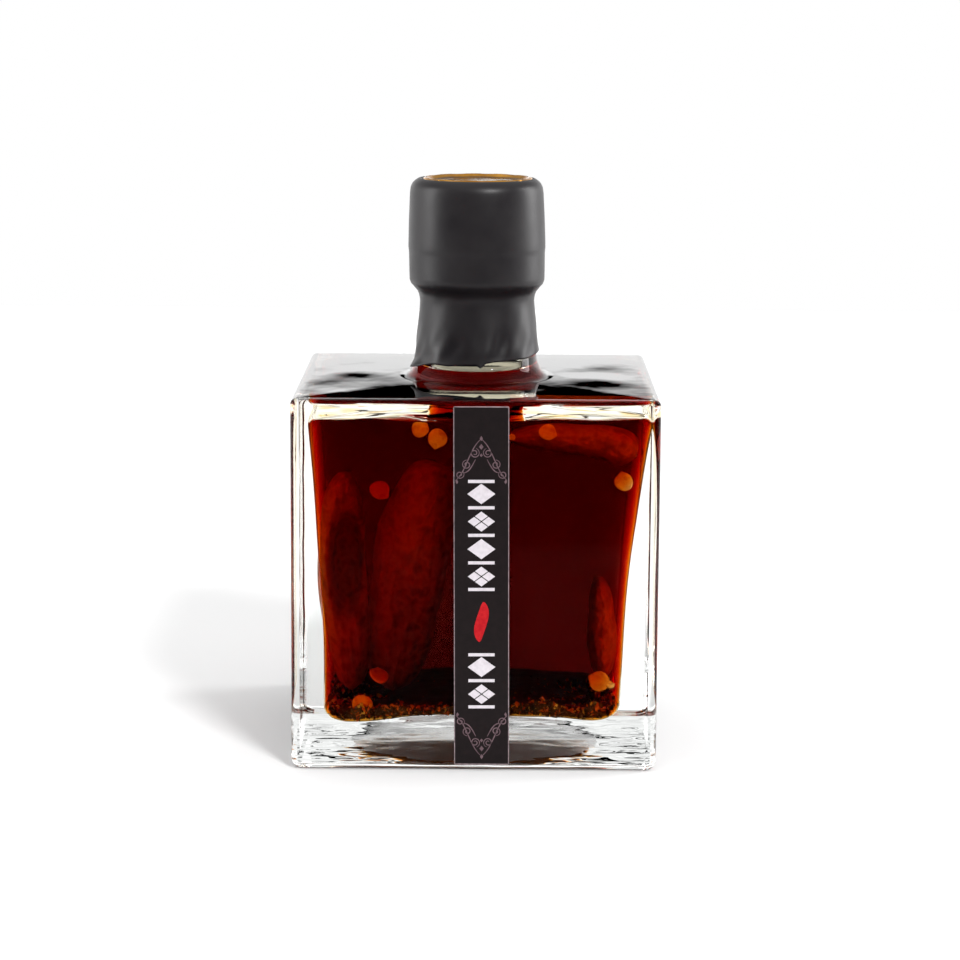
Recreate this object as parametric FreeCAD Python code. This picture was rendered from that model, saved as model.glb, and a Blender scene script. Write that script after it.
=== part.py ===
import FreeCAD, Part
import math
import os

# Square glass bottle of oil, with a heat-shrunk capsule over its neck and stopper.
# Millimetres. The origin is at the bottom centre, +Z is up and the label faces -Y.

# ---- Glass body -------------------------------------------------------------------
BODY_WIDTH = 70.0
BODY_DEPTH = 70.0
BODY_HEIGHT = 71.7
CORNER_RADIUS = 1.8
SHOULDER_EDGE_RADIUS = 1.2
BASE_EDGE_RADIUS = 1.8
PUSH_UP_RADIUS = 25.5
PUSH_UP_HEIGHT = 1.7
PUSH_UP_RIM_RADIUS = 1.0

# ---- Space inside the body ----------------------------------------------------------
# The wall is thick at the foot and thin under the roof, and the space drifts sideways
# a little on its way up, as it does where thick glass sets unevenly.
ROOF_THICKNESS = 4.2
FLOOR_THICKNESS = 11.0
FLOOR_DOME_RADIUS = 200.0
FLOOR_DOME_OFFSET = 2.0
FOOT_WALL = 6.2
WAIST_WALL = 4.85
UPPER_WALL = 2.9
ROOF_WALL = 2.05
FOOT_DRIFT = -0.7
WAIST_DRIFT = -0.05
UPPER_DRIFT = 0.5
ROOF_DRIFT = 0.9
WAIST_BELOW_SHOULDER = 30.7
UPPER_BELOW_SHOULDER = 11.3
CAVITY_CORNER_RADIUS = 8.0
CAVITY_FLOOR_RADIUS = 3.4
CAVITY_ROOF_RADIUS = 1.5

# ---- Neck: heights are above the shoulder ---------------------------------------------
BORE_RADIUS = 9.3
BORE_ENTRY_RADIUS = 2.0
FLARE_RADIUS = 14.65
NECK_FOOT_RADIUS = 11.95
NECK_FOOT_HEIGHT = 3.4
NECK_FOOT_FILLET = 6.0
NECK_WAIST_RADIUS = 10.85
NECK_WAIST_HEIGHT = 15.8
NECK_WAIST_FILLET = 1.4
RING_RADIUS = 13.0
RING_BOTTOM = 18.6
RING_EDGE_FILLET = 0.7
MOUTH_HEIGHT = 25.0
MOUTH_FILLET = 0.8

# ---- Oil --------------------------------------------------------------------------------
OIL_ABOVE_SHOULDER = 2.0

# ---- Capsule, and the head of the stopper that it is shrunk over ---------------------------
FILM_THICKNESS = 0.4
FILM_CLEARANCE = 0.05
HEAD_STEP = 0.12
HEAD_STEP_HEIGHT = 0.6
HEAD_STEP_FILLET = 0.6
HEAD_TAPER = 0.5
HEAD_HEIGHT = 14.2
HEAD_EDGE_FILLET = 1.6
LIP_FILLET = 0.25
HEM_HEIGHT = 3.75
HEM_SLOPE_DEG = 4.3
HEM_NICK_WIDTH = 1.8
HEM_NICK_DROP = 0.75

# ---- Foil disc let into the top of the capsule ----------------------------------------------
DISC_RADIUS = 10.8
DISC_THICKNESS = 0.35
DISC_DEPTH = 0.75
DISC_CLEARANCE = 0.05
BEAD_WIDTH = 1.1
BEAD_HEIGHT = 0.65
BEAD_FILLET = 0.45
BEAD_ROOT_FILLET = 0.2

# ---- Label strip ------------------------------------------------------------------------------
LABEL_WIDTH = 10.5
LABEL_FOOT_GAP = 1.2
LABEL_HEAD_GAP = 1.1
LABEL_THICKNESS = 0.15
LABEL_OFFSET = 1.3
LABEL_TILT_DEG = 0.4

MOUTH = BODY_HEIGHT + MOUTH_HEIGHT
ROOF = BODY_HEIGHT - ROOF_THICKNESS
CAPSULE_TOP = MOUTH + HEAD_HEIGHT
TOUCHING = 1e-6
AXIS = FreeCAD.Vector(0, 0, 1)
ACROSS = FreeCAD.Vector(0, 1, 0)


def at(x, y, z):
    return FreeCAD.Vector(x, y, z)


def moved_out(corners, skin):
    """Corners (radius, height, fillet) of an outline that runs up, moved out by a skin."""
    moved = []
    for i, (radius, height, fillet) in enumerate(corners):
        here = at(radius, 0, height)
        sides = []
        if i > 0:
            sides.append((here - at(corners[i - 1][0], 0, corners[i - 1][1])).normalize())
        if i < len(corners) - 1:
            sides.append((at(corners[i + 1][0], 0, corners[i + 1][1]) - here).normalize())
        normals = [at(side.z, 0, -side.x) for side in sides]
        total = normals[0] + normals[-1]
        shift = total * (skin / (1 + normals[0].dot(normals[-1])))
        bulges = sides[0].x * sides[-1].z - sides[0].z * sides[-1].x > 0
        grown_fillet = fillet + (skin if bulges else -skin) if fillet > 0 else 0
        moved.append((radius + shift.x, height + shift.z, grown_fillet))
    return moved


def turned(corners):
    """Solid of revolution about Z from (radius, height, fillet) corners, low to high."""
    points = [at(radius, 0, height) for radius, height, fillet in corners]
    points = [at(0, 0, points[0].z)] + points
    fillets = [0] + [fillet for radius, height, fillet in corners]
    if points[-1].x > 0:
        points.append(at(0, 0, points[-1].z))
        fillets.append(0)
    edges = []
    start = points[0]
    for i in range(1, len(points) - 1):
        corner = points[i]
        first = corner
        last = corner
        if fillets[i] > 0:
            back = (points[i - 1] - corner).normalize()
            ahead = (points[i + 1] - corner).normalize()
            half_angle = back.getAngle(ahead) / 2
            first = corner + back * (fillets[i] / math.tan(half_angle))
            last = corner + ahead * (fillets[i] / math.tan(half_angle))
            inward = (back + ahead).normalize()
            middle = corner + inward * (fillets[i] / math.sin(half_angle) - fillets[i])
        if first.distanceToPoint(start) > TOUCHING:
            edges.append(Part.makeLine(start, first))
        if fillets[i] > 0:
            edges.append(Part.Arc(first, middle, last).toShape())
        start = last
    edges.append(Part.makeLine(start, points[-1]))
    edges.append(Part.makeLine(points[-1], points[0]))
    return Part.Face(Part.Wire(edges)).revolve(at(0, 0, 0), AXIS, 360)


def level_edges(shape, height):
    """Edges of a shape that lie at one height all along."""
    found = []
    for edge in shape.Edges:
        box = edge.BoundBox
        if abs(box.ZMin - height) < 0.01 and abs(box.ZMax - height) < 0.01:
            found.append(edge)
    return found


def side_reach(edge):
    """Furthest that an edge gets from the Z axis along X or Y."""
    box = edge.BoundBox
    return max(-box.XMin, box.XMax, -box.YMin, box.YMax)


def dome(radius, top, offset):
    """Ball that rises to a height, turned so that its poles and its seam lie below."""
    ball = Part.makeSphere(radius)
    ball.rotate(at(0, 0, 0), ACROSS, 90)
    ball.translate(at(offset, 0, top - radius))
    return ball


def rounded_block(skin):
    """Outer block of the body, grown by an even skin on every side."""
    width = BODY_WIDTH + 2 * skin
    depth = BODY_DEPTH + 2 * skin
    height = BODY_HEIGHT + 2 * skin
    block = Part.makeBox(width, depth, height, at(-width / 2, -depth / 2, -skin))
    upright = [edge for edge in block.Edges if edge.BoundBox.ZLength > height / 2]
    block = block.makeFillet(CORNER_RADIUS + skin, upright)
    top_edges = level_edges(block, BODY_HEIGHT + skin)
    block = block.makeFillet(SHOULDER_EDGE_RADIUS + skin, top_edges)
    return block.makeFillet(BASE_EDGE_RADIUS + skin, level_edges(block, -skin))


def wall_section(wall, drift, height):
    """Rounded rectangle that stands one wall's thickness inside the body's sides."""
    reach_x = BODY_WIDTH / 2 - wall - CAVITY_CORNER_RADIUS
    reach_y = BODY_DEPTH / 2 - wall - CAVITY_CORNER_RADIUS
    edges = []
    for quarter in range(4):
        start_angle = 90.0 * quarter
        side_x = 1 if quarter in (0, 3) else -1
        side_y = 1 if quarter in (0, 1) else -1
        centre = at(drift + side_x * reach_x, side_y * reach_y, height)
        corner = Part.makeCircle(
            CAVITY_CORNER_RADIUS, centre, AXIS, start_angle, start_angle + 90.0)
        if edges:
            edges.append(Part.makeLine(edges[-1].Vertexes[-1].Point, corner.Vertexes[0].Point))
        edges.append(corner)
    edges.append(Part.makeLine(edges[-1].Vertexes[-1].Point, edges[0].Vertexes[0].Point))
    return Part.Wire(edges)


def body_space():
    """Space inside the body: lofted walls over a domed floor, with rounded edges."""
    corner_reach = math.hypot(BODY_WIDTH / 2 + FLOOR_DOME_OFFSET, BODY_DEPTH / 2) - FOOT_WALL
    loft_foot = FLOOR_THICKNESS - corner_reach ** 2 / (2 * FLOOR_DOME_RADIUS)
    walls = Part.makeLoft([
        wall_section(FOOT_WALL, FOOT_DRIFT, loft_foot),
        wall_section(WAIST_WALL, WAIST_DRIFT, BODY_HEIGHT - WAIST_BELOW_SHOULDER),
        wall_section(UPPER_WALL, UPPER_DRIFT, BODY_HEIGHT - UPPER_BELOW_SHOULDER),
        wall_section(ROOF_WALL, ROOF_DRIFT, ROOF),
    ], True)
    space = walls.cut(dome(FLOOR_DOME_RADIUS, FLOOR_THICKNESS, FLOOR_DOME_OFFSET))
    space = space.makeFillet(CAVITY_ROOF_RADIUS, level_edges(space, ROOF))
    floor_edges = [edge for edge in space.Edges if edge.BoundBox.ZMax < FLOOR_THICKNESS]
    return space.makeFillet(CAVITY_FLOOR_RADIUS, floor_edges)


def inner_space(top):
    """All the space inside the glass, from the floor up to a height in the bore."""
    bore = turned([
        (BORE_RADIUS + BORE_ENTRY_RADIUS, ROOF - 1, 0),
        (BORE_RADIUS + BORE_ENTRY_RADIUS, ROOF, 0),
        (BORE_RADIUS, ROOF, BORE_ENTRY_RADIUS),
        (BORE_RADIUS, top, 0),
    ])
    return body_space().fuse(bore).removeSplitter()


def neck_corners():
    """Outer line of the neck, from its flare on the shoulder up to its ring."""
    return [
        (FLARE_RADIUS, BODY_HEIGHT, 0),
        (NECK_FOOT_RADIUS, BODY_HEIGHT + NECK_FOOT_HEIGHT, NECK_FOOT_FILLET),
        (NECK_WAIST_RADIUS, BODY_HEIGHT + NECK_WAIST_HEIGHT, NECK_WAIST_FILLET),
        (RING_RADIUS, BODY_HEIGHT + RING_BOTTOM, RING_EDGE_FILLET),
        (RING_RADIUS, MOUTH, 0),
    ]


def bottle():
    """Glass: the block and the neck, less the push-up below and the space inside."""
    root = (FLARE_RADIUS, BODY_HEIGHT - ROOF_THICKNESS / 2, 0)
    rim = (RING_RADIUS, MOUTH, MOUTH_FILLET)
    neck = turned([root] + neck_corners()[:-1] + [rim, (BORE_RADIUS, MOUTH, 0)])
    glass = rounded_block(0).fuse(neck).removeSplitter()
    push_up_curve = (PUSH_UP_RADIUS ** 2 + PUSH_UP_HEIGHT ** 2) / (2 * PUSH_UP_HEIGHT)
    glass = glass.cut(dome(push_up_curve, PUSH_UP_HEIGHT, 0))
    rim_edges = [edge for edge in level_edges(glass, 0) if side_reach(edge) < PUSH_UP_RADIUS + 0.01]
    glass = glass.makeFillet(PUSH_UP_RIM_RADIUS, rim_edges)
    return glass.cut(inner_space(MOUTH + 1))


def oil():
    """Oil that fills the body and stands a little way up the neck."""
    return inner_space(BODY_HEIGHT + OIL_ABOVE_SHOULDER)


def capsule():
    """Sleeve shrunk over the neck and the stopper's head, with a slanting cut hem."""
    film = FILM_CLEARANCE + FILM_THICKNESS
    head_radius = RING_RADIUS + film
    outside = moved_out(neck_corners(), film)[:-1]
    outside += [
        (head_radius, MOUTH, 0),
        (head_radius + HEAD_STEP, MOUTH + HEAD_STEP_HEIGHT, HEAD_STEP_FILLET),
        (head_radius + HEAD_STEP - HEAD_TAPER, CAPSULE_TOP, HEAD_EDGE_FILLET),
        (DISC_RADIUS + DISC_CLEARANCE, CAPSULE_TOP, LIP_FILLET),
        (DISC_RADIUS + DISC_CLEARANCE, CAPSULE_TOP - DISC_DEPTH, 0),
    ]
    inside = moved_out(neck_corners(), FILM_CLEARANCE)[:-1]
    inside.append((RING_RADIUS + FILM_CLEARANCE, MOUTH + FILM_CLEARANCE, 0))
    sleeve = turned(outside).cut(turned(inside))
    hem = BODY_HEIGHT + HEM_HEIGHT
    span = 4 * FLARE_RADIUS
    below = Part.makeBox(span, span, span, at(-span / 2, -span / 2, hem - span))
    nick = Part.makePolygon([
        at(-HEM_NICK_WIDTH / 2, 0, hem),
        at(0, 0, hem - HEM_NICK_DROP),
        at(HEM_NICK_WIDTH / 2, 0, hem),
        at(-HEM_NICK_WIDTH / 2, 0, hem),
    ])
    below = below.cut(Part.Face(nick).extrude(at(0, -span, 0)))
    below.rotate(at(0, 0, hem), ACROSS, -HEM_SLOPE_DEG)
    return sleeve.cut(below)


def seal_disc():
    """Foil disc with a raised bead around it, bedded in the top of the capsule."""
    seat = CAPSULE_TOP - DISC_DEPTH
    bead_inside = DISC_RADIUS - BEAD_WIDTH
    face = seat + DISC_THICKNESS
    return turned([
        (DISC_RADIUS, seat, 0),
        (DISC_RADIUS, face + BEAD_HEIGHT, BEAD_FILLET),
        (bead_inside, face + BEAD_HEIGHT, BEAD_FILLET),
        (bead_inside - BEAD_HEIGHT / 2, face, BEAD_ROOT_FILLET),
        (0, face, 0),
    ])


def label_strip():
    """Narrow label that runs down the front and turns over its top and bottom edges."""
    length = BODY_HEIGHT - LABEL_FOOT_GAP - LABEL_HEAD_GAP
    depth = CORNER_RADIUS + SHOULDER_EDGE_RADIUS
    corner = at(LABEL_OFFSET - LABEL_WIDTH / 2, -BODY_DEPTH / 2 - depth / 2, LABEL_FOOT_GAP)
    strip = Part.makeBox(LABEL_WIDTH, depth, length, corner)
    middle = at(LABEL_OFFSET, 0, LABEL_FOOT_GAP + length / 2)
    strip.rotate(middle, ACROSS, -LABEL_TILT_DEG)
    return rounded_block(LABEL_THICKNESS).common(strip).cut(rounded_block(0))


PIECES = {
    "bottle": bottle,
    "oil": oil,
    "capsule": capsule,
    "seal_disc": seal_disc,
    "label_strip": label_strip,
}

os.makedirs("parts", exist_ok=True)
for name, build in PIECES.items():
    solid = build().removeSplitter()
    if len(solid.Solids) != 1 or not solid.isValid():
        raise ValueError(name + " is not one sound solid")
    box = solid.BoundBox
    print("%-12s %9.1f mm3  x %7.2f %7.2f  y %7.2f %7.2f  z %7.2f %7.2f" % (
        name, solid.Volume, box.XMin, box.XMax, box.YMin, box.YMax, box.ZMin, box.ZMax))
    solid.Solids[0].exportStep("parts/" + name + ".step")
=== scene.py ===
import math
import random

import bpy
from mathutils import Euler, Matrix, Vector, noise


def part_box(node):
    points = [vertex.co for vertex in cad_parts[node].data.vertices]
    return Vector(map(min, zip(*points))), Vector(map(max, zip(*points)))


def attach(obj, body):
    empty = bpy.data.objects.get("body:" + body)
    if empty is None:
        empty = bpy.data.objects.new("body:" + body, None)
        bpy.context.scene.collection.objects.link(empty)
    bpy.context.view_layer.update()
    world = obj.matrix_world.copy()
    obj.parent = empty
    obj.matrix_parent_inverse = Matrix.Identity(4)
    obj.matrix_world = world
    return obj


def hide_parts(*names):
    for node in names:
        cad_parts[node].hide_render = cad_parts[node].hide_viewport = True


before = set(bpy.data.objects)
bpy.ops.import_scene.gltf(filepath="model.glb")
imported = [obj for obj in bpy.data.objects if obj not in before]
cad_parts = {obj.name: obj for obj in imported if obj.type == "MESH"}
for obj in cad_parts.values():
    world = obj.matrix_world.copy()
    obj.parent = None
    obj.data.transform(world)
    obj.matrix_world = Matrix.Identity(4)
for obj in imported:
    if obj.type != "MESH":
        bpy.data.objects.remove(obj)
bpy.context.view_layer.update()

# Sizes in metres. The solids' boxes give the outer ones.
MM = 0.001
HALF_X, HALF_Y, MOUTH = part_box("bottle")[1]
CAPSULE_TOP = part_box("capsule")[1].z
DISC_LOW, DISC_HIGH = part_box("seal_disc")
LABEL_LOW, LABEL_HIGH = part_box("label_strip")
SHOULDER = MOUTH - 25.0 * MM
OIL_LEVEL = SHOULDER + 1.1 * MM
OIL_EDGE = OIL_LEVEL + 0.5 * MM
OIL_REACH = 0.008 * MM

# The glass's outside.
CORNER_RADIUS = 1.8 * MM
SHOULDER_EDGE = 1.2 * MM
BASE_EDGE = 1.8 * MM
PUSH_UP_RADIUS = 25.5 * MM
PUSH_UP_HEIGHT = 1.7 * MM
FLARE_RADIUS = 14.2 * MM
NECK_RADIUS = 11.85 * MM
RING_RADIUS = 13.0 * MM
TOP_PILLOW = 0.2 * MM

# The space inside, with its walls' thickness and sideways drift at four heights.
ROOF = SHOULDER - 4.2 * MM
FLOOR_TOP = 11.0 * MM
FLOOR_DOME = 200.0 * MM
FLOOR_OFFSET = 2.0 * MM
WALL_HEIGHTS = (6.0 * MM, SHOULDER - 30.7 * MM, SHOULDER - 11.3 * MM, ROOF)
WALL_THICKNESS = (6.2 * MM, 4.85 * MM, 2.9 * MM, 2.05 * MM)
WALL_DRIFT = (-0.7 * MM, -0.05 * MM, 0.5 * MM, 0.9 * MM)
CAVITY_CORNER = 8.0 * MM
CAVITY_FLOOR_EDGE = 3.4 * MM
CAVITY_ROOF_EDGE = 1.5 * MM
BORE_RADIUS = 9.3 * MM
BORE_ENTRY = 2.0 * MM

# How far pressed glass strays from its form.
WALL_WAVE = 0.3 * MM
ROOF_WAVE = 0.45 * MM
FLOOR_WAVE = 0.3 * MM
RIM_WAVE = 0.1 * MM
TOP_WAVE = 0.05 * MM
BASE_STREAKS = 1.6

SIDE_STEPS = 30
CORNER_STEPS = 10
ROUND = 4 * (SIDE_STEPS + CORNER_STEPS)
TURN_STEPS = 240
TURNS = [2 * math.pi * i / TURN_STEPS for i in range(TURN_STEPS)]


# ---- Node materials ----
def new_material(name):
    material = bpy.data.materials.new(name)
    material.use_nodes = True
    return material, material.node_tree, material.node_tree.nodes["Principled BSDF"]


def feed(tree, node, values):
    """Links each named input of a node to an output, or gives it a value of its own."""
    for key, value in values.items():
        if isinstance(value, bpy.types.NodeSocket):
            tree.links.new(value, node.inputs[key])
        else:
            node.inputs[key].default_value = value


def add_node(tree, kind, values=None, **settings):
    node = tree.nodes.new("ShaderNode" + kind)
    for key, value in settings.items():
        setattr(node, key, value)
    feed(tree, node, values or {})
    return node


def object_coords(tree, scale=(1, 1, 1), move=(0, 0, 0)):
    coords = add_node(tree, "TexCoord").outputs["Object"]
    values = {"Vector": coords, "Scale": scale, "Location": move}
    return add_node(tree, "Mapping", values).outputs["Vector"]


def noise_value(tree, vector, scale, detail=3.0):
    values = {"Vector": vector, "Scale": scale, "Detail": detail, "Roughness": 0.5}
    return add_node(tree, "TexNoise", values).outputs["Fac"]


def ramp(tree, value, stops):
    node = add_node(tree, "ValToRGB", {"Fac": value})
    elements = node.color_ramp.elements
    while len(elements) < len(stops):
        elements.new(0.5)
    for element, (place, colour) in zip(elements, stops):
        element.position = place
        element.color = (*colour, 1.0)
    return node.outputs["Color"]


def cloudy(tree, value, low, high):
    """A colour between two, across the middle of a noise's range."""
    return ramp(tree, value, [(0.3, low), (0.7, high)])


def scaled(tree, value, low, high, to_low=0.0, to_high=1.0):
    values = {"Value": value, "From Min": low, "From Max": high}
    values.update({"To Min": to_low, "To Max": to_high})
    return add_node(tree, "MapRange", values).outputs["Result"]


def math_value(tree, operation, *values):
    return add_node(tree, "Math", dict(enumerate(values)), operation=operation).outputs["Value"]


def mixed(tree, share, first, second):
    """A blend of two colours by a share from 0 to 1."""
    return add_node(tree, "Mix", {0: share, 6: first, 7: second}, data_type="RGBA").outputs[2]


def bump(tree, height, strength, distance):
    values = {"Height": height, "Strength": strength, "Distance": distance}
    return add_node(tree, "Bump", values).outputs["Normal"]


def srgb(red, green, blue):
    """Linear colour of an sRGB colour given from 0 to 255."""
    result = []
    for channel in (red, green, blue):
        value = channel / 255.0
        result.append(value / 12.92 if value <= 0.04045 else ((value + 0.055) / 1.055) ** 2.4)
    return tuple(result)


def glass_material(name, ior, tint, neck=(0.87, 0.88, 0.87), neck_low=1.0):
    """Clear glass with slight waves and a streaked foot, in another colour above neck_low. On the
    outer glass that colour is painted light, a cream glow in the neck.
    """
    material, tree, shader = new_material(name)
    waves = noise_value(tree, object_coords(tree, scale=(1.0, 0.55, 0.7)), 130.0, 2.0)
    height = add_node(tree, "SeparateXYZ", {"Vector": object_coords(tree)}).outputs["Z"]
    body = cloudy(tree, waves, (0.87, 0.885, 0.875), (0.91, 0.92, 0.91))
    foot = scaled(tree, height, 8.5 * MM, 11.0 * MM, 1.0, 0.0)
    streaks = noise_value(tree, object_coords(tree, scale=(60, 200, 460)), 1.0, 2.0)
    relief = math_value(tree, "ADD", scaled(tree, waves, 0.0, 1.0, 0.0, 0.2), math_value(
        tree, "MULTIPLY", streaks, scaled(tree, foot, 0.0, 1.0, 0.0, BASE_STREAKS)))
    # Above neck_low the glass takes the neck colour; on the outer glass that colour is painted
    # light, a cream glow in the neck's glass.
    above = scaled(tree, height, neck_low, neck_low + 0.5 * MM)
    feed(tree, shader, {
        "Transmission Weight": 1.0, "IOR": ior, "Specular Tint": (tint, tint, tint, 1.0),
        "Base Color": mixed(tree, above, body, (*neck, 1.0)),
        "Roughness": scaled(tree, waves, 0.3, 0.7, 0.0, 0.012),
        "Normal": bump(tree, relief, 1.0, 0.12 * MM)})
    return material


def frosted_material():
    """The push-up's glass, left rough by the mould, with a grey tint that is painted shade."""
    material, tree, shader = new_material("rough_glass")
    waves = noise_value(tree, object_coords(tree), 260.0)
    # The grey-violet base colour is painted shade that darkens the push-up; the roughness is the
    # mould's.
    feed(tree, shader, {
        "Transmission Weight": 0.7, "IOR": 1.5,
        "Base Color": cloudy(tree, waves, (0.52, 0.52, 0.56), (0.62, 0.62, 0.66)),
        "Roughness": scaled(tree, waves, 0.3, 0.7, 0.12, 0.2)})
    return material


def oil_material():
    """Dark red oil: amber where it is thin, nearly black where it is deep."""
    material, tree, shader = new_material("dark_red_oil")
    haze = noise_value(tree, object_coords(tree), 60.0)
    feed(tree, shader, {
        "Transmission Weight": 1.0, "IOR": 1.001, "Roughness": 0.0,
        "Base Color": ramp(tree, haze, [(0.2, (0.98, 0.95, 0.92)), (0.8, (1.0, 1.0, 1.0))])})
    depth = {"Color": (0.9593, 0.707, 0.0, 1.0), "Density": 1400.0}
    volume = add_node(tree, "VolumeAbsorption", depth).outputs["Volume"]
    feed(tree, tree.nodes["Material Output"], {"Volume": volume})
    return material


def film_material():
    """Matte black shrink film with a faint grain."""
    material, tree, shader = new_material("black_shrink_film")
    vector = object_coords(tree)
    cloud = noise_value(tree, vector, 160.0)
    feed(tree, shader, {
        "Specular IOR Level": 0.3,
        "Base Color": cloudy(tree, cloud, srgb(27, 24, 27), srgb(33, 30, 32)),
        "Roughness": scaled(tree, cloud, 0.3, 0.7, 0.36, 0.44),
        "Normal": bump(tree, noise_value(tree, vector, 5200.0, 4.0), 0.25, 0.02 * MM)})
    return material


def foil_material():
    """Polished foil with small dents: a gold bead round a brown face, whose brown is painted shade.
    """
    material, tree, shader = new_material("gold_foil")
    vector = object_coords(tree)
    cloud = noise_value(tree, vector, 220.0, 4.0)
    # The face's dark brown is painted shade: the dark that the dished face reflects, painted into
    # its colour; the bead keeps the foil's own gold.
    face = cloudy(tree, cloud, srgb(72, 46, 16), srgb(112, 78, 34))
    bead = cloudy(tree, cloud, srgb(150, 96, 30), srgb(222, 164, 72))
    flat = object_coords(tree, scale=(1.0, 1.0, 0.0))
    away = add_node(tree, "VectorMath", {0: flat}, operation="LENGTH").outputs["Value"]
    feed(tree, shader, {
        "Metallic": 1.0,
        "Base Color": mixed(tree, scaled(tree, away, 9.3 * MM, 9.8 * MM), face, bead),
        "Roughness": scaled(tree, cloud, 0.3, 0.7, 0.08, 0.22),
        "Normal": bump(tree, noise_value(tree, vector, 420.0, 2.0), 0.5, 0.12 * MM)})
    return material


def speckled_material(name, colours, roughness, size):
    """Dry matter whose colour varies from bit to bit."""
    material, tree, shader = new_material(name)
    vector = object_coords(tree)
    share = 1.0 / (len(colours) - 1)
    stops = [(0.28 + 0.44 * share * i, srgb(*colour)) for i, colour in enumerate(colours)]
    fine = noise_value(tree, vector, 6.0 / size, 2.0)
    feed(tree, shader, {
        "Base Color": ramp(tree, noise_value(tree, vector, 1.0 / size), stops),
        "Roughness": scaled(tree, fine, 0.3, 0.7, roughness, roughness + 0.15),
        "Normal": bump(tree, fine, 0.3, 0.05 * MM)})
    return material


# ---- Mesh tools ----
def make_piece(name, verts, faces, materials, smooth=True, slots=None):
    mesh = bpy.data.meshes.new(name)
    mesh.from_pydata([tuple(v) for v in verts], [], faces)
    for material in materials:
        mesh.materials.append(material)
    for index, polygon in enumerate(mesh.polygons):
        polygon.use_smooth = smooth
        if slots:
            polygon.material_index = slots[index]
    mesh.update()
    piece = bpy.data.objects.new(name, mesh)
    bpy.context.scene.collection.objects.link(piece)
    return piece


def rounded_ring(half_x, half_y, radius, drift=0.0):
    """Points of a rounded rectangle, from the middle of its +X side, as (x, y)."""
    points = []
    for quarter in range(4):
        turn = math.pi / 2 * quarter
        swap = quarter % 2 == 1
        side = half_y if swap else half_x
        run = (half_x if swap else half_y) - radius
        along = Vector((math.cos(turn), math.sin(turn)))
        across = Vector((-math.sin(turn), math.cos(turn)))
        for step in range(SIDE_STEPS):
            share = 2.0 * step / SIDE_STEPS - 1.0
            points.append(along * side + across * (run * share))
        centre = along * (side - radius) + across * run
        for step in range(CORNER_STEPS):
            angle = math.pi / 2 * step / CORNER_STEPS
            points.append(centre + (along * math.cos(angle) + across * math.sin(angle)) * radius)
    return [(p.x + drift, p.y) for p in points]


ANGLES = [math.atan2(y, x) for x, y in rounded_ring(1.0, 1.0, 0.2)]


def round_ring(radius):
    return [(radius * math.cos(a), radius * math.sin(a)) for a in ANGLES]


def polar(radius, angle, height):
    return Vector((radius * math.cos(angle), radius * math.sin(angle), height))


def mixed_ring(first, second, share):
    ring = []
    for (ax, ay), (bx, by) in zip(first, second):
        ring.append((ax + (bx - ax) * share, ay + (by - ay) * share))
    return ring


def lifted(ring, height):
    return [Vector((x, y, height)) for x, y in ring]


def band(low, high, steps=ROUND):
    """Quads between two rings of points, that face outward when the rings run upward."""
    turns = [(i, (i + 1) % steps) for i in range(steps)]
    return [(low + i, low + j, high + j, high + i) for i, j in turns]


def ring_faces(ring_count, start=0, steps=ROUND):
    faces = []
    for low in range(start, start + (ring_count - 1) * steps, steps):
        faces += band(low, low + steps, steps)
    return faces


def lid(start, steps=ROUND):
    """The face that closes a ring of points from above."""
    return tuple(range(start, start + steps))


def flipped(faces):
    return [tuple(reversed(face)) for face in faces]


def arc_steps(count):
    return [math.pi / 2 * step / count for step in range(count + 1)]


# ---- Glass and oil ----
def curve_at(height, values):
    """Smooth curve through the values at the wall's four measured heights."""
    total = 0.0
    for i, known in enumerate(WALL_HEIGHTS):
        weight = values[i]
        for j, other in enumerate(WALL_HEIGHTS):
            if j != i:
                weight *= (height - other) / (known - other)
        total += weight
    return total


def wall_ring(height, inset=0.0, reach=0.0):
    wall = curve_at(height, WALL_THICKNESS) + inset - reach
    drift = curve_at(height, WALL_DRIFT)
    radius = max(CAVITY_CORNER - inset + reach, 0.3 * MM)
    return rounded_ring(HALF_X - wall, HALF_Y - wall, radius, drift)


def floor_height(x, y, reach=0.0):
    away = (x - FLOOR_OFFSET) ** 2 + y ** 2
    return FLOOR_TOP - away / (2 * FLOOR_DOME) - reach


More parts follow.
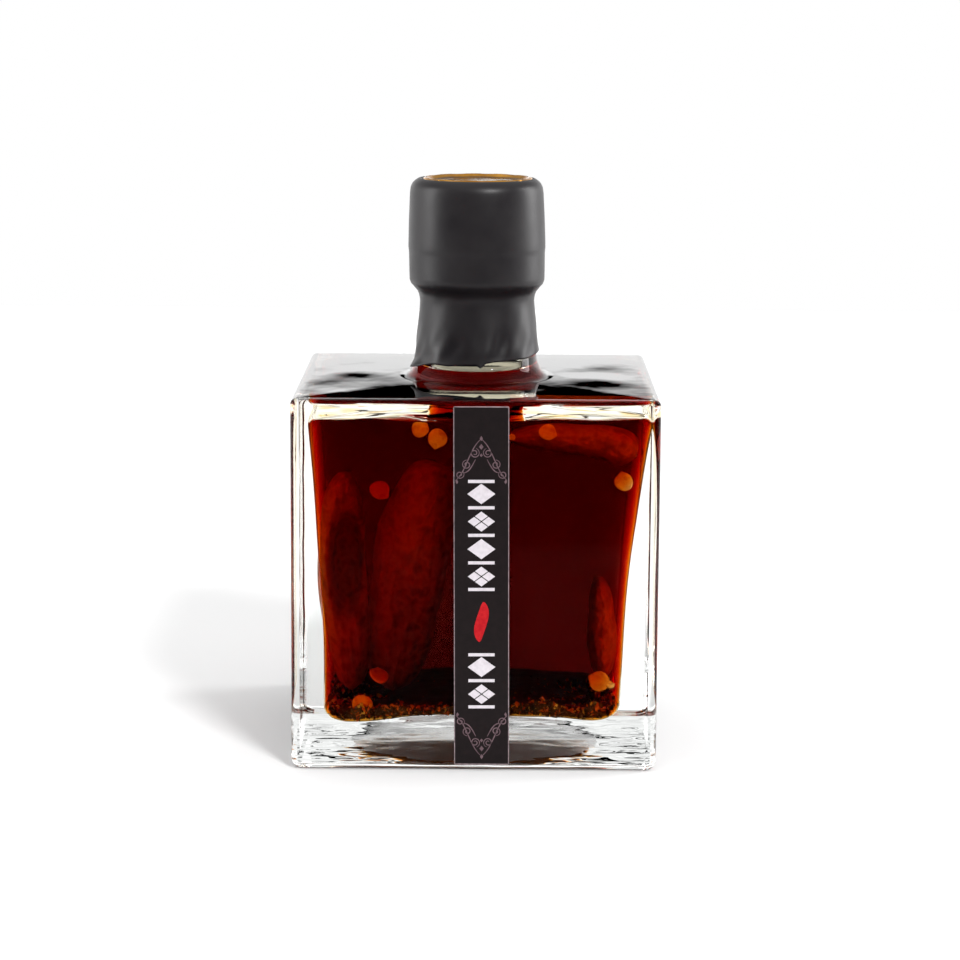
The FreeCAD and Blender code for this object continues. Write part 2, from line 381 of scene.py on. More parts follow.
def space_rings(reach=0.0):
    """Rings of the space inside the body from the middle of its floor up to the bore."""
    foot = wall_ring(FLOOR_TOP + CAVITY_FLOOR_EDGE / 2, CAVITY_FLOOR_EDGE, reach)
    rings = []
    for share in (0.02, 0.12, 0.25, 0.4, 0.55, 0.7, 0.85):
        flat = mixed_ring(round_ring(BORE_RADIUS * share), foot, share)
        rings.append([Vector((x, y, floor_height(x, y, reach))) for x, y in flat])
    for angle in arc_steps(8):
        inset = CAVITY_FLOOR_EDGE * (1 - math.sin(angle))
        rise = CAVITY_FLOOR_EDGE * (1 - math.cos(angle))
        ring = wall_ring(FLOOR_TOP, inset, reach)
        rings.append([Vector((x, y, floor_height(x, y, reach) + rise)) for x, y in ring])
    wall_foot = FLOOR_TOP + CAVITY_FLOOR_EDGE
    wall_top = ROOF - CAVITY_ROOF_EDGE
    steps = 26
    for step in range(1, steps + 1):
        height = wall_foot + (wall_top - wall_foot) * step / steps
        rings.append(lifted(wall_ring(height, 0, reach), height))
    for angle in arc_steps(6)[1:]:
        inset = CAVITY_ROOF_EDGE * (1 - math.cos(angle))
        height = wall_top + CAVITY_ROOF_EDGE * math.sin(angle) + reach * math.sin(angle)
        rings.append(lifted(wall_ring(wall_top, inset, reach), height))
    roof_edge = wall_ring(wall_top, CAVITY_ROOF_EDGE, reach)
    entry = round_ring(BORE_RADIUS + BORE_ENTRY + reach)
    for share in (0.2, 0.4, 0.6, 0.8, 1.0):
        rings.append(lifted(mixed_ring(roof_edge, entry, share), ROOF + reach))
    for angle in arc_steps(6)[1:]:
        radius = BORE_RADIUS + BORE_ENTRY * (1 - math.sin(angle)) + reach
        rings.append(lifted(round_ring(radius), ROOF + BORE_ENTRY * (1 - math.cos(angle)) + reach))
    return rings


def split_rings(rings, height):
    """The rings up to a height and those above it, with a ring at that height between them."""
    below = [ring for ring in rings if max(point.z for point in ring) < height - 0.01 * MM]
    above = rings[len(below):]
    lower, upper = below[-1], above[0]
    share = (height - lower[0].z) / (upper[0].z - lower[0].z)
    level = [low.lerp(high, share) for low, high in zip(lower, upper)]
    for point in level:
        point.z = height
    return below, level, above


def uneven(point, amount, size, seed):
    """How far a soft unevenness moves a point, from -amount to amount."""
    place = Vector(point) / size + Vector((seed, 2.3 * seed, 0.7 * seed))
    return amount * noise.noise(place)


def wave_walls(rings):
    """Moves walls, roof and floor in and out a little, as thick pressed glass sets."""
    for point in (point for ring in rings for point in ring):
        side = Vector((point.x, point.y, 0))
        if side.length > BORE_RADIUS + BORE_ENTRY + 1 * MM:
            push = uneven(point, WALL_WAVE, 17 * MM, 3.0)
            edge = min(1.0, (side.length - BORE_RADIUS - BORE_ENTRY) / (8 * MM))
            if point.z > ROOF - 3 * MM:
                flat = Vector((point.x, 1.6 * point.y, 0))
                point.z += uneven(flat, ROOF_WAVE, 8 * MM, 8.0) * edge
            point += side.normalized() * push
        if point.z < FLOOR_TOP + 2 * MM:
            flat = Vector((0.6 * point.x, 1.5 * point.y, 0))
            point.z += uneven(flat, FLOOR_WAVE, 6 * MM, 12.0)
    return rings


def neck_profile():
    """(radius, height) points of the neck's outside from shoulder to mouth."""
    profile = []
    for share in (0.0, 0.12, 0.25, 0.4, 0.55, 0.7, 0.85, 1.0):
        radius = NECK_RADIUS + (FLARE_RADIUS - NECK_RADIUS) * (1 - share) ** 2.6
        profile.append((radius, SHOULDER + TOP_PILLOW + (4.9 * MM - TOP_PILLOW) * share))
    bends = ((11.4, 10.0), (10.9, 15.2), (11.1, 16.4), (12.6, 18.1), (12.95, 18.9), (13.0, 19.8))
    for radius, rise in bends:
        profile.append((radius * MM, SHOULDER + rise * MM))
    for inset, drop in ((0, 0.8), (0.25, 0.25), (0.8, 0)):
        profile.append((RING_RADIUS - inset * MM, MOUTH - drop * MM))
    return profile


def body_ring(inset):
    """The body's outline, moved in by the inset."""
    return rounded_ring(HALF_X - inset, HALF_Y - inset, CORNER_RADIUS - inset)


PUSH_UP_SHARES = (0.02, 0.15, 0.3, 0.45, 0.6, 0.75, 0.88, 0.96)


def outer_rings():
    """Rings of the glass's outside from the middle of its base up to the mouth."""
    rings = []
    curve = (PUSH_UP_RADIUS ** 2 + PUSH_UP_HEIGHT ** 2) / (2 * PUSH_UP_HEIGHT)
    for share in PUSH_UP_SHARES:
        radius = PUSH_UP_RADIUS * share
        height = PUSH_UP_HEIGHT - curve + math.sqrt(curve ** 2 - radius ** 2)
        rings.append(lifted(round_ring(radius), height))
    rings.append(lifted(round_ring(PUSH_UP_RADIUS + 0.3 * MM), 0.04 * MM))
    rim = round_ring(PUSH_UP_RADIUS + 1.0 * MM)
    for share in (0.0, 0.2, 0.4, 0.6, 0.8):
        ring = lifted(mixed_ring(rim, body_ring(BASE_EDGE), share), 0.0)
        for point in ring:
            point.z = max(0.0, RIM_WAVE * 0.3 + uneven(point, RIM_WAVE, 6 * MM, 6.0))
        rings.append(ring)
    for angle in arc_steps(6):
        ring = body_ring(BASE_EDGE * (1 - math.sin(angle)))
        rings.append(lifted(ring, BASE_EDGE * (1 - math.cos(angle))))
    side_high = SHOULDER - SHOULDER_EDGE
    steps = 24
    for step in range(1, steps + 1):
        rings.append(lifted(body_ring(0), BASE_EDGE + (side_high - BASE_EDGE) * step / steps))
    for angle in arc_steps(7)[1:]:
        ring = body_ring(SHOULDER_EDGE * (1 - math.cos(angle)))
        rings.append(lifted(ring, side_high + SHOULDER_EDGE * math.sin(angle)))
    edge = body_ring(SHOULDER_EDGE)
    for step in range(1, 16):
        share = step / 16
        ring = lifted(mixed_ring(edge, round_ring(FLARE_RADIUS), share), SHOULDER)
        crown = TOP_PILLOW * (1 - (1 - share) ** 2)
        for point in ring:
            point.z += crown + uneven(point, TOP_WAVE, 12 * MM, 5.0) * math.sin(math.pi * share)
        rings.append(ring)
    for radius, height in neck_profile():
        rings.append(lifted(round_ring(radius), height))
    return rings


def flat_list(rings):
    return [point for ring in rings for point in ring]


def build_glass(clear, wetted, frosted):
    outside = outer_rings()
    inside = wave_walls(space_rings())
    for height in (ROOF + BORE_ENTRY + 1 * MM, SHOULDER + 8 * MM, MOUTH - 0.5 * MM):
        inside.append(lifted(round_ring(BORE_RADIUS), height))
    inside.append(lifted(round_ring(BORE_RADIUS + 0.5 * MM), MOUTH))
    below, level, above = split_rings(inside, OIL_EDGE)
    inside = below + [level] + above
    start = len(outside) * ROUND
    verts = flat_list(outside + inside)
    faces = ring_faces(len(outside)) + flipped(ring_faces(len(inside), start))
    faces += band(start - ROUND, len(verts) - ROUND) + flipped([lid(0)]) + [lid(start)]
    slots = []
    for face in faces:
        wet = min(face) >= start and all(verts[i].z <= OIL_EDGE + 0.01 * MM for i in face)
        push_up = max(face) < len(PUSH_UP_SHARES) * ROUND
        slots.append(1 if wet else 2 if push_up else 0)
    return make_piece("glass_bottle", verts, faces, [clear, wetted, frosted], slots=slots)


# The oil's top from the middle out: gap to the wall and how far it has climbed (mm).
OIL_TOP = (
    (9.2, 0.0), (7.0, 0.0), (5.0, 0.0), (3.0, 0.0), (1.9, 0.02), (1.2, 0.07), (0.8, 0.14),
    (0.5, 0.22), (0.3, 0.32), (0.15, 0.42),
)


def surface_rings(reach, lift=0.0):
    rings = []
    for gap, climb in OIL_TOP:
        ring = []
        for angle in ANGLES:
            run = Vector((math.cos(angle), math.sin(angle), climb / 4)) * 9 * MM
            thin = 1 + min(1.0, climb) * uneven(run, 1.0, 5 * MM, 4.0)
            ring.append(polar(BORE_RADIUS - gap * thin * MM, angle, OIL_LEVEL + climb * MM + lift))
        rings.append(ring)
    rings.append(lifted(round_ring(BORE_RADIUS + reach), OIL_EDGE + lift))
    return rings


def build_oil(material):
    rings = wave_walls(space_rings(OIL_REACH))
    rings.append(lifted(round_ring(BORE_RADIUS + OIL_REACH), SHOULDER + 8 * MM))
    rings = split_rings(rings, OIL_EDGE)[0] + list(reversed(surface_rings(OIL_REACH)))
    faces = ring_faces(len(rings)) + flipped([lid(0)]) + [lid((len(rings) - 1) * ROUND)]
    return make_piece("oil_fill", flat_list(rings), faces, [material])


def build_surface(material):
    """The skin of the oil's top, just above it."""
    rings = surface_rings(0.05 * MM, 0.012 * MM)
    faces = flipped(ring_faces(len(rings))) + [lid(0)]
    return make_piece("oil_surface", flat_list(rings), faces, [material])


# ---- Capsule and foil ----
HEM_HEIGHT = 3.75 * MM
HEM_SLANT = 0.075 * 12.4 * MM
HEM_BACK = 3.0 * MM
NICK_ANGLE = -math.pi / 2 + 0.06
FLAP_ANGLE = -math.pi + 0.35
NICK_DEPTH = 0.75 * MM
FLAP_DROP = 0.9 * MM
FILM_THICKNESS = 0.32 * MM
FILM_LEAN = -0.22 * MM
HIDDEN_LID = 9.0 * MM


def sleeve_profile(height):
    """Outer radius of the shrunk film at a height above the shoulder."""
    stations = (
        (1.0, 14.1), (2.2, 13.2), (3.4, 12.55), (4.9, 12.28), (7.3, 12.04), (10.3, 11.78),
        (13.3, 11.46), (15.0, 11.31), (16.2, 11.42), (17.0, 11.75), (17.8, 12.4), (18.5, 13.05),
        (19.2, 13.36), (21.0, 13.41), (24.8, 13.45), (25.7, 13.56), (28.0, 13.52), (31.0, 13.43),
        (34.0, 13.3), (36.5, 13.18), (37.6, 13.02), (38.4, 12.6), (38.95, 11.95),
    )
    place = height / MM
    for (low, first), (high, second) in zip(stations, stations[1:]):
        if place <= high:
            share = max(0.0, (place - low) / (high - low))
            return (first + (second - first) * share) * MM
    return stations[-1][1] * MM


def bell(value, centre, width):
    return math.exp(-((value - centre) / width) ** 2)


def angle_gap(angle, centre):
    return (angle - centre + math.pi) % (2 * math.pi) - math.pi


def hem_height(angle):
    """Height of the film's cut edge above the shoulder, with its slant, nick and flap."""
    height = HEM_HEIGHT + HEM_SLANT * math.cos(angle)
    height += HEM_BACK * (0.5 + 0.5 * math.sin(angle)) ** 2
    height -= NICK_DEPTH * max(0.0, 1 - abs(angle_gap(angle, NICK_ANGLE)) / 0.07)
    height -= FLAP_DROP * bell(angle_gap(angle, FLAP_ANGLE), 0, 0.22)
    height += 0.12 * MM * math.sin(5 * angle + 1.0) + 0.06 * MM * math.sin(13 * angle)
    return height


# Dents, a bulge and the flap: rise (mm), angle and its spread, height and its spread (mm).
DENTS = (
    (-0.30, -1.15, 0.10, 8.0, 2.6), (0.22, -1.38, 0.12, 6.4, 2.4), (-0.22, -1.9, 0.16, 7.4, 3.0),
    (0.85, FLAP_ANGLE, 0.2, 2.0, 1.3),
)


def film_wrinkle(angle, height):
    """Soft pleats where the film draws in over the neck."""
    place = height / MM
    low = bell(place, 6.0, 4.0)
    waist = bell(place, 15.5, 2.0)
    folds = 0.10 * math.sin(9 * angle + 0.6 * place) + 0.07 * math.sin(17 * angle - 0.9 * place)
    total = folds * (low * 0.8 + waist * 0.35)
    for rise, turn, spread, middle, tall in DENTS:
        total += rise * bell(angle_gap(angle, turn), 0, spread) * bell(place, middle, tall)
    return total * MM


def build_capsule(material):
    """The film's outside from hem to lip, and its inside up to a hidden lid in the sleeve."""
    top = CAPSULE_TOP - SHOULDER
    first = 7.0 * MM
    film = [7.0 + step * 0.9 for step in range(10)]
    film += [15.8, 16.4, 17.0, 17.5, 18.0, 18.5, 18.9, 19.3, 20.0, 22.0, 24.4, 24.9, 25.3]
    film += [25.8, 27.0, 29.0, 31.0, 33.0, 35.0, 36.4, 37.0, 37.5, 37.9, 38.3, 38.6, 38.85]
    hem_rows = 9
    rows = [[hem_height(angle) + (first - hem_height(angle)) * step / hem_rows for angle in TURNS]
            for step in range(hem_rows)]
    rows += [[height * MM] * TURN_STEPS for height in film]
    verts = []
    for row in rows:
        for angle, height in zip(TURNS, row):
            radius = sleeve_profile(height) + film_wrinkle(angle, height)
            x = radius * math.cos(angle) + FILM_LEAN * (height - 15 * MM) / (25 * MM)
            verts.append((x, radius * math.sin(angle), SHOULDER + height))
    lip = [(11.5, top), (11.15, top + 0.02 * MM), (10.95, top - 0.1 * MM), (10.88, top - 0.7 * MM)]
    for radius, height in lip:
        for angle in TURNS:
            x = radius * MM * math.cos(angle) - 0.2 * MM
            verts.append((x, radius * MM * math.sin(angle), SHOULDER + height))
    inner = len(verts)
    for share in (0.0, 0.25, 0.6, 1.0):
        for angle in TURNS:
            height = hem_height(angle) + (HIDDEN_LID - hem_height(angle)) * share
            radius = sleeve_profile(height) + film_wrinkle(angle, height) - FILM_THICKNESS
            verts.append(polar(radius, angle, SHOULDER + height))
    faces = ring_faces(len(rows) + len(lip), 0, TURN_STEPS) + [lid(inner - TURN_STEPS, TURN_STEPS)]
    faces += band(inner, 0, TURN_STEPS)
    faces += flipped(ring_faces(4, inner, TURN_STEPS) + [lid(inner + 3 * TURN_STEPS, TURN_STEPS)])
    return make_piece("shrink_capsule", verts, faces, [material])


def build_foil(material):
    """Foil disc: a rolled bead round a dished, slightly dented face."""
    seat = DISC_LOW.z
    rows = [(10.8, 0.1), (10.8, 0.62), (10.68, 0.86), (10.42, 0.99), (10.12, 0.94), (9.85, 0.66)]
    rows += [(9.6, 0.42), (9.0, 0.3), (8.0, 0.26), (7.0, 0.25), (6.0, 0.25), (5.0, 0.26)]
    rows += [(4.0, 0.27), (3.0, 0.28), (2.0, 0.28), (1.0, 0.28), (0.2, 0.28)]
    face_radius = 9.7
    verts = []
    for radius, height in rows:
        for angle in TURNS:
            x = radius * MM * math.cos(angle)
            y = radius * MM * math.sin(angle)
            if radius < face_radius:
                stray = uneven((x, y, 0), 0.22 * MM, 5 * MM, 9.0)
            else:
                stray = 0.05 * MM * math.sin(11 * angle + 2 * radius)
            top = min(seat + height * MM + stray, DISC_HIGH.z)
            verts.append((x, y, max(top, seat + 0.02 * MM)))
    faces = ring_faces(len(rows), 0, TURN_STEPS) + [lid((len(rows) - 1) * TURN_STEPS, TURN_STEPS)]
    return make_piece("foil_disc", verts, faces + flipped([lid(0, TURN_STEPS)]), [material])


def dress(piece, node=None):
    """Fixes a piece to the part, in the place of a solid where one is named."""
    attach(piece, "root")
    if node:
        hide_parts(node)


# The cream colour above the shoulder is painted light: it stands for warm light seen in the neck,
# not a tint the glass has.
clear_glass = glass_material("clear_glass", 1.5, 0.03, (1.0, 0.97, 0.84), SHOULDER + 0.3 * MM)
wet_glass = glass_material("glass_against_oil", 1.02, 0.0, (0.3, 0.2, 0.16), ROOF + 2.5 * MM)
surface_glass = glass_material("oil_top", 1.9, 1.0)
dress(build_glass(clear_glass, wet_glass, frosted_material()), "bottle")
dress(build_oil(oil_material()), "oil")
dress(build_surface(surface_glass))
dress(build_capsule(film_material()), "capsule")
dress(build_foil(foil_material()), "seal_disc")


# ---- What floats and lies in the oil ----
class Pile:
    """Vertices and faces of many small solids, gathered for one piece."""

    def __init__(self):
        self.verts = []
        self.faces = []

    def add(self, verts, faces):
        start = len(self.verts)
        self.verts.extend(verts)
        self.faces.extend(tuple(start + i for i in face) for face in faces)

    def piece(self, name, material, smooth=True, slot_name="dark_oil", node=None):
        dress(make_piece(name, self.verts, self.faces, [material], smooth), node)


def front_wall(height):
    """Y of the inside of the front wall."""
    return -(HALF_Y - curve_at(height, WALL_THICKNESS))


def seed_shape(width, thickness, beak, curl):
    """Flat chili seed with a beak, thick at its rim and dished in the middle."""
    around, rows = 28, 7
    verts = [Vector((0, 0, 0.30 * thickness)), Vector((0, 0, -0.30 * thickness))]
    for side in (1, -1):
        for row in range(1, rows + (side == 1)):
            share = row / rows
            for i in range(around):
                angle = 2 * math.pi * i / around
                reach = 1 + beak * bell(angle_gap(angle, -math.pi / 2), 0, 0.26)
                reach *= 1 + 0.03 * math.sin(3 * angle + beak * 9)
                radius = width / 2 * reach * math.sin(share * math.pi / 2)
                lift = side * thickness / 2 * math.cos(share * math.pi / 2) ** 0.7
                lift *= 0.62 + 0.75 * share ** 2
                x = radius * math.cos(angle)
                y = radius * math.sin(angle)
                verts.append(Vector((x, y, lift + curl * x * x / width)))
    faces = []
    top = 2
    bottom = 2 + rows * around
    rim = top + (rows - 1) * around
    for i in range(around):
        j = (i + 1) % around
        faces.append((0, top + i, top + j))
        faces.append((1, bottom + j, bottom + i))
        for row in range(rows - 1):
            low = top + row * around
            faces.append((low + i, low + around + i, low + around + j, low + j))
        for row in range(rows - 2):
            low = bottom + row * around
            faces.append((low + j, low + around + j, low + around + i, low + i))
        last = bottom + (rows - 2) * around
        faces.append((last + j, rim + j, rim + i, last + i))
    return verts, faces


# How much deeper every seed lies (mm), so that the oil reddens it.
SEED_DEPTH = 0.9
# Seeds against the front wall: x, z, depth behind the wall, width (mm), turn, lean (degrees), curl.
SEEDS = (
    (-10.5, 65.6, 1.0, 3.3, 150, 28, 0.5),
    (-7.2, 64.0, 0.35, 3.7, -8, 12, 0.1),
    (13.6, 65.2, 1.5, 3.3, 80, 25, 0.2),
    (6.9, 64.3, 1.0, 1.3, 40, 20, 0.2),
    (28.2, 55.6, 1.6, 3.6, 200, 22, 0.1),
    (-18.3, 53.3, 4.6, 3.8, 60, 30, 0.2),
    (-18.5, 16.7, 3.6, 3.9, 200, 60, 0.4),
    (-21.6, 11.4, 0.8, 4.0, 20, 10, 0.1),
    (24.1, 16.2, 1.5, 4.0, 250, 18, 0.7),
    (26.2, 15.6, 1.6, 1.6, 120, 40, 0.3),
)


def build_seeds(material):
    pile = Pile()
    for x, z, depth, width, turn, lean, curl in SEEDS:
        verts, faces = seed_shape(width * MM, 0.26 * width * MM, 0.22, curl)
        spin = Euler((math.radians(90 - lean), math.radians(0.4 * lean), 0)).to_matrix()
        spin = spin @ Matrix.Rotation(math.radians(turn), 3, "Z")
        y = front_wall(z * MM) + (depth + SEED_DEPTH + 0.16 * width) * MM
        place = Vector((x * MM, y, z * MM))
        pile.add([place + spin @ point for point in verts], faces)
    pile.piece("chili_seeds", material)


def smooth_path(points, share):
    """A place on a smooth curve through the points, and its direction."""
    span = share * (len(points) - 1)
    index = min(int(span), len(points) - 2)
    local = span - index
    near = [points[min(max(index + k, 0), len(points) - 1)] for k in (-1, 0, 1, 2)]
    place, run = [], []
    for a, b, c, d in zip(*near):
        bend, twist = 2 * a - 5 * b + 4 * c - d, 3 * b - a - 3 * c + d
        place.append(0.5 * (2 * b + (c - a) * local + bend * local ** 2 + twist * local ** 3))
        run.append(0.5 * ((c - a) + 2 * bend * local + 3 * twist * local ** 2))
    return place, run


# Skins of dried pods behind the front wall. Each has stations of x, z, depth and half width
# (mm), how deep its folds are, and the x, z, half width, half height and depth of a hollow, if any.
PODS = (
    (((-6.5, 57.6, 3.6, 6.2), (-9.0, 52.0, 3.3, 6.6), (-11.5, 43.0, 3.5, 7.2),
      (-13.5, 32.0, 5.4, 7.2), (-15.0, 22.0, 7.4, 6.6), (-16.0, 12.0, 10.5, 6.0)),
     0.9, (-13.0, 26.0, 3.0, 9.0, 2.0)),
    (((-25.0, 56.0, 3.8, 3.0), (-25.6, 49.0, 3.2, 4.2), (-25.8, 38.0, 3.4, 4.6),
      (-25.0, 27.0, 4.8, 4.6), (-24.0, 12.5, 8.0, 4.4)),
     0.5, (-24.8, 38.2, 2.9, 9.5, 9.0)),
    (((6.5, 63.2, 3.0, 2.0), (13.0, 63.6, 2.8, 2.7), (20.0, 63.2, 2.7, 3.0),
      (26.5, 62.0, 2.8, 3.7), (31.0, 60.2, 3.4, 3.6)), 0.35, None),
    (((24.0, 35.5, 4.6, 1.6), (24.6, 30.0, 4.3, 2.6), (24.9, 23.0, 4.5, 2.9),
      (25.2, 15.5, 5.2, 2.4)), 0.45, None),
)
POD_THICKNESS = 0.5 * MM


def build_pods(material):
    """Wrinkled skins of dried pods, sunk upright close behind the glass."""
    pile = Pile()
    along, across = 110, 44
    for number, (stations, fold, hollow) in enumerate(PODS):
        fronts, backs = [], []
        for i in range(along + 1):
            share = i / along
            (x, z, depth, half), (dx, dz, _, _) = smooth_path(stations, share)
            length = math.hypot(dx, dz)
            end = math.sqrt(max(0.0, 1 - abs(2 * share - 1) ** 5))
            for j in range(across + 1):
                side = 2 * j / across - 1
                stray = 0.12 * noise.noise(Vector((4 * share, 9.0 * number, side)))
                reach = half * end * (side + stray)
                px = x - dz / length * reach
                pz = z + dx / length * reach
                place = Vector((0.75 * reach, 5.5 * share, 3.0 * number))
                crease = abs(noise.noise(place)) + 0.5 * abs(noise.noise(2.3 * place))
                deep = depth + 1.3 + 5.0 * abs(side) ** 2.6 + 3.5 * abs(2 * share - 1) ** 4
                deep += fold * (1.3 * crease - 0.3)
                deep += 0.25 * noise.noise(Vector((px, pz, 3.0 * number)) * 1.4)
                if hollow:
                    far = ((px - hollow[0]) / hollow[2]) ** 2 + ((pz - hollow[1]) / hollow[3]) ** 2
                    deep += hollow[4] / (1 + far ** 3)
                y = front_wall(pz * MM) + deep * MM
                fronts.append(Vector((px * MM, y, pz * MM)))
                backs.append(Vector((px * MM, y + POD_THICKNESS, pz * MM)))
        row = across + 1
        count = len(fronts)
        faces = []
        for i in range(along):
            for j in range(across):
                a, b = i * row + j, (i + 1) * row + j
                faces.append((a, b, b + 1, a + 1))
                faces.append((count + a, count + a + 1, count + b + 1, count + b))
        rim = list(range(row)) + [i * row + across for i in range(1, along + 1)]
        rim += [along * row + j for j in range(across - 1, -1, -1)]
        rim += [i * row for i in range(along - 1, 0, -1)]
        for a, b in zip(rim, rim[1:] + rim[:1]):
            faces.append((a, b, count + b, count + a))
        pile.add(fronts + backs, faces)
    pile.piece("chili_pods", material)


def random_turn(rng):
    return Euler((rng.uniform(0, 6.3), rng.uniform(0, 6.3), rng.uniform(0, 6.3))).to_matrix()


def flake_shape(rng, size):
    """Torn flake: an uneven outline between two low peaks."""
    corners = rng.choice((5, 6, 7))
    thin = size * rng.uniform(0.08, 0.16)
    long = rng.uniform(1.0, 1.7)
    bend = rng.uniform(-0.5, 0.5)
    verts = [Vector((0, 0, thin)), Vector((0, 0, -thin))]
    for i in range(corners):
        angle = 2 * math.pi * (i + rng.uniform(-0.25, 0.25)) / corners
        reach = size / 2 * rng.uniform(0.65, 1.15)
        x = long * reach * math.cos(angle)
        verts.append(Vector((x, reach * math.sin(angle), bend * x * x / size)))
    faces = []
    for i in range(corners):
        j = (i + 1) % corners
        faces.append((0, 2 + i, 2 + j))
        faces.append((1, 2 + j, 2 + i))
    return verts, faces


def inside_oil(point, margin):
    """Whether a point lies in the oil, at least the margin away from the glass."""
    rise = point.z - floor_height(point.x, point.y)
    if rise < margin:
        return False
    edge = CAVITY_FLOOR_EDGE
    inset = edge - math.sqrt(edge ** 2 - (edge - rise) ** 2) if rise < edge else 0.0
    radius = max(CAVITY_CORNER - inset - margin, 0.3 * MM)
    half = HALF_X - curve_at(point.z, WALL_THICKNESS) - inset - margin - radius
    over_x = max(abs(point.x - curve_at(point.z, WALL_DRIFT)) - half, 0.0)
    over_y = max(abs(point.y) - half, 0.0)
    return math.hypot(over_x, over_y) < radius


# How far the settled layer reaches from the middle, and the width of a flake.
SEDIMENT_REACH = 29.0 * MM
FLAKE_SIZE = 1.0 * MM


def sediment_place(rng, crest):
    """A place in the layer at the bottom, which lies highest against the walls."""
    for _ in range(200):
        x = rng.uniform(-29.5, 28.5) * MM
        y = rng.uniform(-29.0, 29.0) * MM
        if rng.random() < 0.5:
            y = -(29.0 - abs(rng.gauss(0, 1.3))) * MM
        y = min(y, rng.uniform(-29.0, 6.0) * MM)
        wall = min(SEDIMENT_REACH - abs(x), SEDIMENT_REACH + y)
        bank = 0.5 + 0.5 * min(1.0, abs(x) / (22 * MM)) ** 2
        height = crest * bank * (0.12 + 0.88 * math.exp(-max(wall, 0) / (3.5 * MM)))
        height *= 1 + 0.7 * noise.noise(Vector((x, y, 0)) / (5 * MM))
        place = Vector((x, y, floor_height(x, y) + 0.4 * MM + height * rng.random() ** 1.7))
        if inside_oil(place, 0.75 * MM):
            return place
    return Vector((0, 0, FLOOR_TOP + 1 * MM))


def build_bed(material):
    """The settled paste under the flakes, thin and uneven over the whole floor."""
    steps = 70
    limit = 30 * MM
    tops, lows, faces = {}, {}, []
    verts = []
    for i in range(steps + 1):
        for j in range(steps + 1):
            x = limit * (2 * i / steps - 1)
            y = limit * (2 * j / steps - 1)
            low = floor_height(x, y) + 0.34 * MM + FLOOR_WAVE
            rise = (0.55 + 0.6 * noise.noise(Vector((x, y, 0)) / (4 * MM))) * MM
            edge = max(abs(x + 0.7 * MM), abs(y)) - 27.0 * MM
            climb = 0.55 * max(0.0, edge) ** 2 / MM
            top = Vector((x, y, low + max(rise, 0.12 * MM) + climb))
            foot = Vector((x, y, low + climb))
            if inside_oil(top, 0.3 * MM) and inside_oil(foot, 0.3 * MM):
                tops[i, j], lows[i, j] = len(verts), len(verts) + 1
                verts += [top, foot]
    cells = [(i, j) for i in range(steps) for j in range(steps)
             if all(key in tops for key in ((i, j), (i + 1, j), (i, j + 1), (i + 1, j + 1)))]
    filled = set(cells)
    for i, j in cells:
        a, b, c, d = (i, j), (i + 1, j), (i + 1, j + 1), (i, j + 1)
        faces.append((tops[a], tops[b], tops[c], tops[d]))
        faces.append((lows[a], lows[d], lows[c], lows[b]))
        sides = ((a, b, (i, j - 1)), (b, c, (i + 1, j)), (c, d, (i, j + 1)), (d, a, (i - 1, j)))
        for first, second, beside in sides:
            if beside not in filled:
                faces.append((lows[first], lows[second], tops[second], tops[first]))
    pile = Pile()
    pile.add(verts, faces)
    pile.piece("sediment_bed", material)


def build_sediment(name, material, count, crest, seed):
    rng = random.Random(seed)
    pile = Pile()
    for _ in range(count):
        place = sediment_place(rng, crest)
        verts, faces = flake_shape(rng, FLAKE_SIZE * rng.uniform(0.5, 1.25))
        spin = random_turn(rng)
        pile.add([place + spin @ point for point in verts], faces)
    pile.piece(name, material, False)


build_pods(speckled_material(
    "dried_pod", ((150, 66, 44), (196, 112, 78), (130, 60, 46)), 0.5, 3.0 * MM))
build_seeds(speckled_material(
    "chili_seed", ((238, 142, 40), (248, 168, 62), (214, 110, 30)), 0.4, 1.6 * MM))
build_bed(speckled_material(
    "dark_paste", ((46, 26, 20), (74, 38, 24), (34, 20, 16)), 0.5, 1.2 * MM))
# Name, look, colours, count, crest height (mm) and seed of each kind of flake.
FLAKES = (
    ("flakes_dark", "dark_flake", ((52, 30, 20), (92, 48, 26), (40, 24, 18)), 4200, 4.6, 11),
    ("flakes_red", "red_flake", ((196, 66, 24), (232, 110, 36), (170, 50, 20)), 800, 5.6, 12),
    ("flakes_gold", "gold_flake", ((236, 168, 60), (246, 196, 96), (210, 140, 44)), 260, 5.0, 13),
)
for name, look, colours, count, crest, seed in FLAKES:
    flake = speckled_material(look, colours, 0.45, 2.0 * MM)
    build_sediment(name, flake, count, crest * MM, seed)


# ---- Label ----
LABEL_TILT = math.radians(0.4)
LABEL_MIDDLE = (LABEL_LOW + LABEL_HIGH) / 2
LABEL_HALF_WIDTH = 5.25 * MM
LABEL_HALF_HEIGHT = 34.69 * MM
PAPER_FRONT = LABEL_LOW.y + 0.03 * MM
PRINT_FRONT = LABEL_LOW.y + 0.008 * MM
PAPER_BACK = LABEL_LOW.y + 0.16 * MM
# Heights of a form in the print and of its mirror image add up to this (mm).
MIRROR_SUM = 67.3


def on_label(across, height, y):
    """A place on the label, from its middle line and the plane that the bottle stands on."""
    up = height - LABEL_MIDDLE.z
    x = LABEL_MIDDLE.x + across * math.cos(LABEL_TILT) - up * math.sin(LABEL_TILT)
    z = LABEL_MIDDLE.z + across * math.sin(LABEL_TILT) + up * math.cos(LABEL_TILT)
    return Vector((x, y, z))


